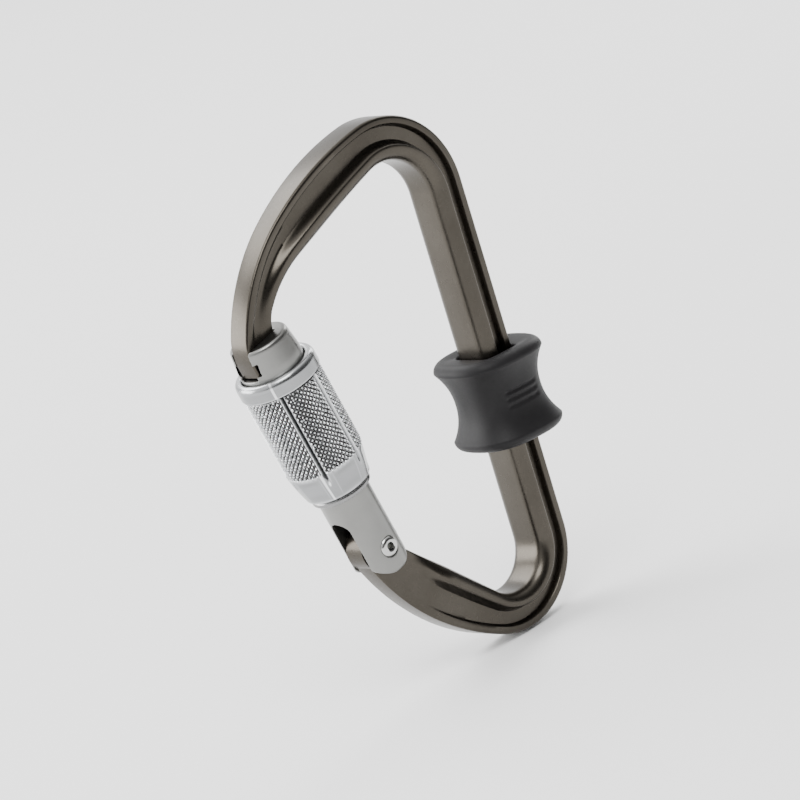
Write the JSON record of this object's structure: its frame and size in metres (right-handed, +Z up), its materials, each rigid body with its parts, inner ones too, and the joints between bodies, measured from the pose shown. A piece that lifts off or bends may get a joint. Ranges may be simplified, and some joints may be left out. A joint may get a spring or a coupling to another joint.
{
  "type": "screw-lock carabiner",
  "caption": "Asymmetric D-shaped locking carabiner with a sprung inward gate, a knurled screw sleeve that runs up over the nose, and a rubber keeper on the spine",
  "frame": {"origin": "Centre of the round seat inside the frame's top bend, in the frame's middle plane, where the load bears.", "axes": "+Z up along the load line, away from the bottom bend; +X from the gate towards the spine; +Y through the frame's thickness."},
  "size_m": [0.0657, 0.019, 0.1023],
  "materials": {
    "frame_alloy": "satin anodised, dark bronze grey",
    "gate_alloy": "satin anodised, silver grey",
    "sleeve_alloy": "bright turned and knurled",
    "ring_steel": "satin",
    "rivet_steel": "polished",
    "warning_red": "gloss",
    "keeper_rubber": "matte"
  },
  "bodies": {
    "frame": {"frame": "frame_alloy"},
    "gate": {"gate": "gate_alloy", "gate_rivet": "rivet_steel", "warning_band": "warning_red", "gate_spring": "rivet_steel"},
    "plunger": {"plunger": "rivet_steel"},
    "sleeve_ring": {"sleeve_ring": "ring_steel"},
    "sleeve": {"locking_sleeve": "sleeve_alloy"},
    "keeper": {"keeper": "keeper_rubber"}
  },
  "joints": [
    {"name": "gate_hinge", "type": "hinge", "parent": "frame", "child": "gate", "pos_m": [-0.0276, 0, -0.055], "axis": [0, 1, 0], "range_deg": [0, 28], "stiffness_Nm_per_rad": 0.36, "springref_deg": -24.06},
    {"name": "plunger_slide", "type": "slide", "parent": "gate", "child": "plunger", "axis": [-0.2014, 0, 0.9795], "range_m": [0, 0.0016], "deforming": ["gate_spring"]},
    {"name": "sleeve_travel", "type": "slide", "parent": "gate", "child": "sleeve_ring", "axis": [-0.2014, 0, 0.9795], "range_m": [-0.00601, 0.00301]},
    {"name": "sleeve_turn", "type": "hinge", "parent": "sleeve_ring", "child": "sleeve", "pos_m": [-0.03364, 0, -0.02561], "axis": [-0.2014, 0, 0.9795], "range_deg": [-1080, 540]},
    {"name": "keeper_slide", "type": "slide", "parent": "frame", "child": "keeper", "axis": [0.0391, 0, 0.9992], "range_m": [-0.016, 0.025]}
  ],
  "couplings": [
    {"joint": "plunger_slide", "follows": "gate_hinge", "m_per_rad": 0.00298},
    {"joint": "sleeve_travel", "follows": "sleeve_turn", "m_per_rad": 0.00031831}
  ]
}
